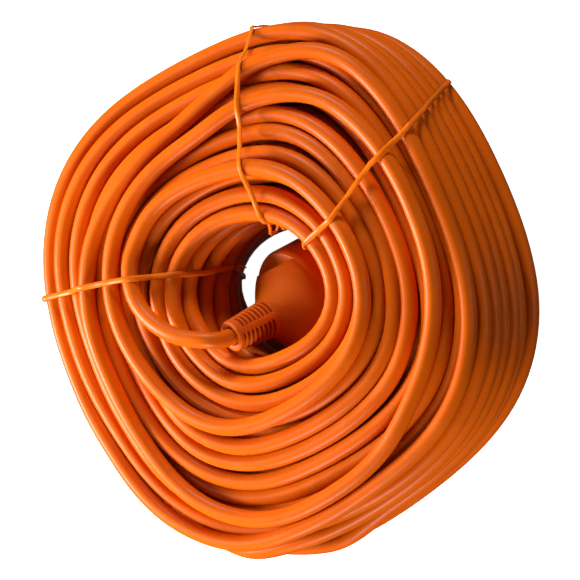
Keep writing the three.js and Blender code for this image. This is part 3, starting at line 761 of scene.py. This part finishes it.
def plug_points():
    """The turned body, with a wedge cut to a flat floor on each side of its pin end."""
    edge = NOTCH_HALF_ANGLE
    quarter = np.concatenate([np.linspace(0, edge, 8), np.linspace(edge + 0.004, np.pi / 2, 28)])
    half = np.concatenate([quarter, np.pi - quarter[-2::-1]])
    angles = np.concatenate([half, half[1:-1] + np.pi])
    outline = rounded(PLUG_OUTLINE)
    low = outline[:, 1] < NOTCH_END
    wall = (outline[:, 0] > 0.0158) & low
    first = int(np.argmax(wall))
    edge_row = np.array([[0.0187, NOTCH_END]])
    outline = np.concatenate([outline[:first], edge_row, edge_row, outline[first:]])
    cut = (outline[:, 0] > 0.0158) & (outline[:, 1] <= NOTCH_END)
    cut[first] = False
    points = turned_points(outline, angles)
    beside = np.abs((angles + np.pi / 2) % np.pi - np.pi / 2) <= edge + 1e-6
    notch = cut[:, None] & beside[None, :]
    shrink = np.minimum(1, NOTCH_FLOOR / np.maximum(np.abs(points[..., 0]), 1e-9))
    points[..., 0] = np.where(notch, points[..., 0] * shrink, points[..., 0])
    return points


body_points = plug_points()
body_faces = ring_faces(*body_points.shape[:2])[:, ::-1]
plug_body = new_piece("plug_shell", placed_points(body_points, PLUG_FACE, plug_axes), body_faces)
plug_body.data.materials.append(moulding_paint_painted_shade)
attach(plug_body, "root")
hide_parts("plug_body")

# --- the hard carriers and the shutter -------------------------------------------------------------
# A black glass-filled carrier is snapped into the coupler, with a lid behind it, and a thin bridge
# holds the pins in the plug. The turning shutter is a smoother dark plastic.


def carrier_plastic(name, colour, roughness, grain_depth):
    """Hard moulded plastic: spark-eroded grain, paler flow marks and specks of fibre."""
    paint, shader, place = new_paint(name)
    flow = place.stretched((1.0, 1.0, 0.35)).noise(140.0, 4.0)
    grain = place.noise(2400.0)
    fibre = place.stretched((1.0, 0.3, 1.0)).noise(3200.0, 1.0).between(0.66, 0.74)
    base = flow.between(0.35, 0.7).tint(shade(colour, 0.8), shade(colour, 1.35))
    base = (0.25 * fibre).tint(base, (0.16, 0.16, 0.155, 1.0))
    surface(shader, base, roughness + 0.12 * (flow - 0.5) + 0.10 * (grain - 0.5), grain, grain_depth)
    shader.inputs["Specular IOR Level"].default_value = 0.4
    return paint


def repaint(paint, *nodes):
    """Gives CAD nodes their material."""
    for name in nodes:
        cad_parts[name].data.materials.clear()
        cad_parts[name].data.materials.append(paint)


repaint(carrier_plastic("carrier_plastic", (0.020, 0.020, 0.022), 0.52, 0.00004),
        "coupler_insert", "coupler_insert_cover", "plug_bridge")
repaint(carrier_plastic("shutter_plastic", (0.038, 0.038, 0.042), 0.34, 0.00001), "coupler_shutter")

# --- contacts, earth parts, pins and the shutter's spring --------------------------------------------
# The contacts and the earth sleeve are rolled brass, the earth strap and clip are plated strip, and
# the pins are turned and plated, with a barrel behind for the crimp. The spring is drawn wire.


def worked_metal(name, colour, tarnish, roughness, lines):
    """Bare or plated metal: fine drawing lines, cloudy tarnish and a few dull spots."""
    paint, shader, place = new_paint(name)
    drawn = place.stretched(lines).noise(1.0, 3.0)
    cloud = place.noise(160.0, 5.0)
    spots = place.noise(900.0, 2.0).between(0.64, 0.72)
    base = cloud.between(0.45, 0.8).tint(shade(colour, 1.0), (*tarnish, 1.0))
    base = (0.3 * spots).tint(base, shade(tarnish, 0.6))
    rough = roughness + 0.16 * (drawn - 0.5) + 0.2 * (cloud - 0.5) + 0.15 * spots
    surface(shader, base, rough, drawn, 0.000008)
    shader.inputs["Metallic"].default_value = 1.0
    return paint


brass = worked_metal("rolled_brass", (0.78, 0.55, 0.22), (0.42, 0.24, 0.10), 0.30, (3000, 3000, 300))
nickel = worked_metal("nickel_plate", (0.72, 0.69, 0.63), (0.50, 0.45, 0.38), 0.22, (2600, 2600, 400))
steel = worked_metal("drawn_steel", (0.55, 0.55, 0.56), (0.32, 0.29, 0.26), 0.32, (4000, 4000, 4000))
repaint(brass, "coupler_contact_live", "coupler_contact_neutral", "plug_earth_sleeve")
repaint(nickel, "coupler_earth_clip", "plug_earth_strap")
repaint(steel, "coupler_shutter_spring")

# from the rounded tip to the crimp barrel's bore, as radius and height in millimetres
PIN_OUTLINE = np.array([
    (0.25, -19.0), (0.8, -18.97), (1.3, -18.8), (1.75, -18.45), (2.1, -17.95), (2.32, -17.3),
    (2.4, -16.6), (2.4, -16.5), (2.4, 0.0), (2.4, 13.7), (2.38, 13.9), (2.2, 14.0), (1.9, 14.0),
    (1.9, 14.05), (1.9, 18.9), (1.82, 19.0), (1.43, 19.0), (1.35, 18.9), (1.35, 14.3), (0.2, 14.2),
]) * 0.001
PIN_ASIDE = 0.0095


def open_faces(rows, columns):
    """Quads of a tube from its first row to its last, and one face that closes each end."""
    quads = ring_faces(rows, columns).reshape(rows, columns, 4)[:-1].reshape(-1, 4)
    return [*quads, np.arange(columns)[::-1], (rows - 1) * columns + np.arange(columns)]


for name, node, aside in (("plug_pin_upper", "plug_pin_live", PIN_ASIDE),
                          ("plug_pin_lower", "plug_pin_neutral", -PIN_ASIDE)):
    pin_points = turned_points(PIN_OUTLINE, np.linspace(0, 2 * np.pi, 64, endpoint=False))
    pin_points[..., 1] += aside
    pin_faces = open_faces(*pin_points.shape[:2])
    pin = new_piece(name, placed_points(pin_points, PLUG_FACE, plug_axes), pin_faces)
    pin.data.materials.append(nickel)
    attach(pin, "root")
    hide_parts(node)

# --- the cores -----------------------------------------------------------------------------------
# Inside each moulding the sheath ends, and three insulated stranded cores go on to their crimps:
# brown live, blue neutral, and green-and-yellow earth.


def core_pvc(name, colour, stripe=None):
    """Thin PVC insulation: a slight mottle and sheen, with a second colour down one side."""
    paint, shader, place = new_paint(name)
    mottle = place.noise(400.0, 3.0)
    base = mottle.between(0.3, 0.7).tint(shade(colour, 0.88), shade(colour, 1.1))
    if stripe:
        side = place.stretched((1.0, 1.0, 0.15)).noise(420.0, 0.0).between(0.49, 0.51)
        base = side.tint(base, mottle.between(0.3, 0.7).tint(shade(stripe, 0.9), shade(stripe, 1.05)))
    surface(shader, base, 0.36 + 0.1 * (mottle - 0.5), mottle, 0.00001)
    shader.inputs["Specular IOR Level"].default_value = 0.4
    return paint


for colour_name, core, colour, stripe in (
        ("brown_core", "live", (0.115, 0.035, 0.012), None),
        ("blue_core", "neutral", (0.012, 0.085, 0.42), None),
        ("earth_core", "earth", (0.05, 0.30, 0.035), (0.78, 0.62, 0.02))):
    repaint(core_pvc(colour_name, colour, stripe), f"coupler_core_{core}", f"plug_core_{core}")

# --- the wire ties ---------------------------------------------------------------------------------
# Three flat plastic ties with a soft wire inside. Each is drawn tight round the whole section, and
# its two ends are twisted together in the hole.

TIE_CLEARANCE = 0.0005
RIM_SLACK = 0.0013
TIE_SECTION = np.array([(-1.4, 0), (-0.9, 0.2), (-0.45, 0.25), (0, 0.5), (0.45, 0.25), (0.9, 0.2),
                        (1.4, 0), (0.9, -0.2), (0.45, -0.25), (0, -0.5), (-0.45, -0.25),
                        (-0.9, -0.2)]) * 0.001
# name, CAD node, plan points from the hole to the rim, the sideways lean per metre of height,
# the height at which the ends meet on the hole's wall, and the twisted ends' way from there
TIES = (
    ("tie_band_top", "tie_top",
     ((0.0290, -0.0085), (0.0510, -0.0020), (0.0650, 0.0015), (0.0930, 0.0045), (0.1225, 0.0062)),
     0.0, 0.0720,
     ((0, 0, 0), (-0.0025, 0.0020, -0.0042), (-0.0048, 0.0040, -0.0085), (-0.0036, 0.0026, -0.0098),
      (0.0004, -0.0006, -0.0070), (-0.0010, -0.0030, -0.0056), (-0.0030, -0.0046, -0.0062))),
    ("tie_band_right", "tie_right",
     ((0.0200, -0.0285), (0.0350, -0.0476), (0.0584, -0.0674), (0.0700, -0.0822), (0.0830, -0.0960)),
     0.45, 0.0770,
     ((0, 0, 0), (-0.0010, 0.0008, -0.0006), (-0.0018, 0.0012, -0.0016), (-0.0022, 0.0014, -0.0030))),
    ("tie_band_left", "tie_left",
     ((0.0112, 0.0260), (0.0079, 0.0336), (0.0042, 0.0696), (-0.0037, 0.1206)),
     0.0, 0.0460,
     ((0, 0, 0), (0.0004, -0.0016, 0.0012), (0.0010, -0.0032, 0.0016), (0.0006, -0.0050, 0.0012),
      (0.0002, -0.0064, 0.0018))),
)
LEAN_FROM = 0.076
# below LEAN_FROM the lean is less at the hole: this share of it, and all of it this far out
HOLE_LEAN = 0.3
WHOLE_LEAN_AT = 0.060
# soft wire dips this share of the way to the turns, which are looked for this far in
DIP = 0.35
DIP_REACH = 0.009
DEEPEST_DIP = 0.007
TWIST_PITCH = 0.0032
TWIST_STEP = 0.00025
STRAND_ASIDE = 0.0003
STRAND_SCALE = 0.62


def hugging(line, turns):
    """The taut outline, bent in between the turns as soft wire is.

    A point goes inwards, square to the line, for a share of its way to the first turn in its
    path. That way is eased along the line by a running least and then a running mean.
    """
    tangent = np.gradient(line, axis=0)
    inwards = np.stack([tangent[:, 1], -tangent[:, 0]], axis=1)
    inwards /= np.linalg.norm(inwards, axis=1)[:, None]
    reach = CORD_DIAMETER / 2 + TIE_CLEARANCE
    gap = turns[None] - line[:, None]
    ahead = (gap * inwards[:, None]).sum(2)
    aside = (gap ** 2).sum(2) - ahead ** 2
    short = np.sqrt(np.maximum(reach ** 2 - aside, 0))
    hit = np.where((aside < reach ** 2) & (ahead > 0), ahead - short, DIP_REACH)
    room = np.clip(hit.min(axis=1), 0, DEEPEST_DIP)
    around = np.pad(room, 8, "wrap")
    least = np.lib.stride_tricks.sliding_window_view(around, 9).min(axis=1)
    mean = np.convolve(least, np.full(9, 1 / 9), "valid")
    return line + DIP * mean[:, None] * inwards


def tie_loop(plan, lean, meeting):
    """The tie's closed line, from where its ends meet: the tight outline round what it holds.

    Cord points near the tie's own curve are laid out flat, as the way along it and the height.
    For each direction the furthest one carries the tie, which stands off a little at the rim.
    """
    plan = np.array(plan)
    across = (plan[-1] - plan[0]) / np.linalg.norm(plan[-1] - plan[0])
    normal = np.array([across[1], -across[0]])
    plan_along, plan_aside = (plan - plan[0]) @ across, (plan - plan[0]) @ normal

    def aside(along, height):
        above = np.maximum(height - LEAN_FROM, 0)
        below = np.minimum(height - LEAN_FROM, 0) * np.interp(
            along, (0, WHOLE_LEAN_AT), (HOLE_LEAN, 1))
        return np.interp(along, plan_along, plan_aside) + lean * (above + below)

    flat = cord_centreline - COIL_CENTRE
    along = (flat[:, :2] - plan[0]) @ across
    beside = (flat[:, :2] - plan[0]) @ normal - aside(along, flat[:, 2])
    held = (np.abs(beside) < 0.0035) & (along > -0.02)
    turns = np.stack([along[held], flat[held, 2]], axis=1)
    direction = np.linspace(np.pi, -np.pi, 361)
    facing = np.stack([np.cos(direction), np.sin(direction)], axis=1)
    carrying = turns[np.argmax(turns @ facing.T, axis=0)]
    stand_off = TIE_CLEARANCE + RIM_SLACK * np.exp(-((direction - 0.5) / 0.3) ** 2)
    line = carrying + (CORD_DIAMETER / 2 + stand_off)[:, None] * facing
    line[:, 1] = np.maximum(line[:, 1], 0.0006)
    line = hugging(even_steps(line, 0.0008), turns)
    wall = line[:, 0] < line[:, 0].min() + 0.015
    root = int(np.argmin(np.abs(line[:, 1] - meeting) + ~wall))
    line = np.concatenate([line[root:], line[1:root + 1]])
    place = np.zeros((len(line), 3))
    place[:, :2] = plan[0] + line[:, :1] * across + aside(line[:, 0], line[:, 1])[:, None] * normal
    place[:, 2] = line[:, 1]
    return even_steps(place, 0.0012), np.array([*normal, 0.0])


def ribbon_points(line, normal, section, turn):
    """The tie's section carried along its line, wide across the plane, and turned a little."""
    tangent = np.gradient(line, axis=0)
    tangent /= np.linalg.norm(tangent, axis=1)[:, None]
    outward = np.cross(tangent, normal)
    wide = np.cos(turn)[:, None] * normal + np.sin(turn)[:, None] * outward
    thick = np.cross(wide, tangent)
    return line[:, None] + section[:, 0, None] * wide[:, None] + section[:, 1, None] * thick[:, None]


tie_paint = satin_pvc("tie_plastic", (0.68, 0.125, 0.003), 0.32)
for name, node, plan, lean, meeting, tail in TIES:
    line, normal = tie_loop(plan, lean, meeting)
    run = np.linspace(0, 1, len(line))
    slack = np.sin(run * 37.0) * 0.2 + np.sin(run * 91.0 + 1.0) * 0.1
    bands = [ribbon_points(line, normal, TIE_SECTION, slack)]
    faces = [np.array(face) for face in open_faces(len(line), len(TIE_SECTION))]
    way = curve_through(line[0] + np.array(tail), TWIST_STEP)
    turn = np.arange(len(way)) * TWIST_STEP / TWIST_PITCH * 2 * np.pi
    tangent = np.gradient(way, axis=0)
    tangent /= np.linalg.norm(tangent, axis=1)[:, None]
    outward = np.cross(tangent, normal)
    outward /= np.linalg.norm(outward, axis=1)[:, None]
    flat_side = np.cross(outward, tangent)
    for side in (-1, 1):
        apart = -np.sin(turn)[:, None] * flat_side + np.cos(turn)[:, None] * outward
        strand = way + side * STRAND_ASIDE * apart
        offset = sum(part.reshape(-1, 3).shape[0] for part in bands)
        bands.append(ribbon_points(strand, flat_side, TIE_SECTION * STRAND_SCALE, turn))
        faces += [np.array(face) + offset for face in open_faces(len(strand), len(TIE_SECTION))]
    points = np.concatenate([part.reshape(-1, 3) for part in bands]) + COIL_CENTRE
    band = new_piece(name, points, faces)
    band.data.materials.append(tie_paint)
    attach(band, "root")
    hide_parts(node)
